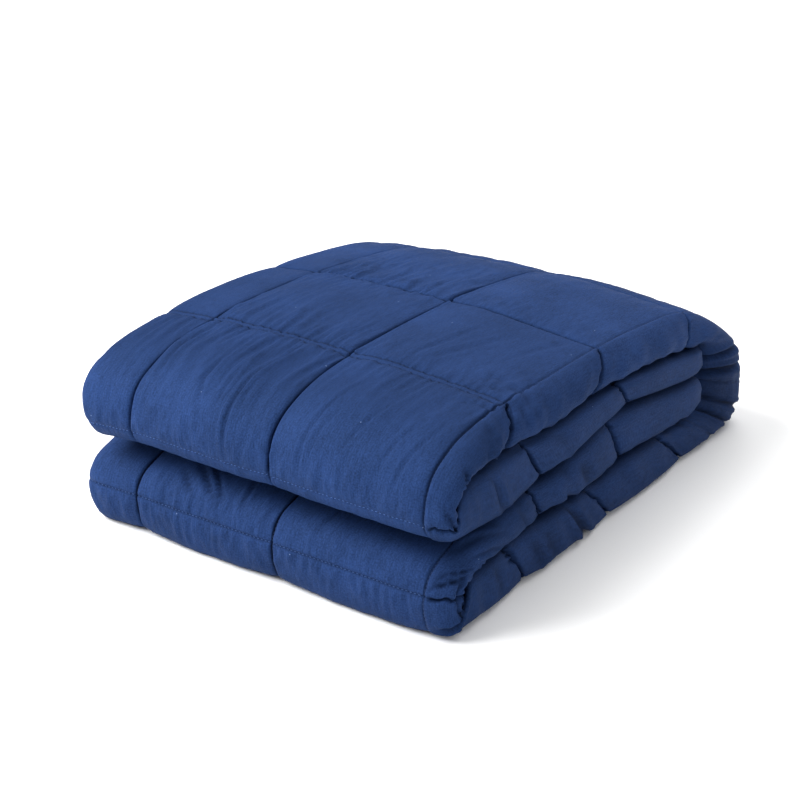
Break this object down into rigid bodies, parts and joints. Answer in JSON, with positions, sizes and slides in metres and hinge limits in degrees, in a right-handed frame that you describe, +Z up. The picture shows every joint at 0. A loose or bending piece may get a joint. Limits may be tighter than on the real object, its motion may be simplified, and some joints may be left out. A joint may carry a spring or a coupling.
{
  "type": "weighted blanket",
  "caption": "Quilted weighted blanket in filled square pockets, folded in on its width and then folded back and forth into a thick stack with round rolls.",
  "frame": {"origin": "on the floor, under the middle of the folded stack's box", "axes": "+X to the right along the front rolls, +Y from the front rolls towards the back roll, +Z up"},
  "size_m": [0.326, 0.4616, 0.1498],
  "materials": {
    "navy_cotton": "matte woven cotton, plain navy"
  },
  "bodies": {
    "root": {"blanket": "navy_cotton"}
  },
  "joints": []
}
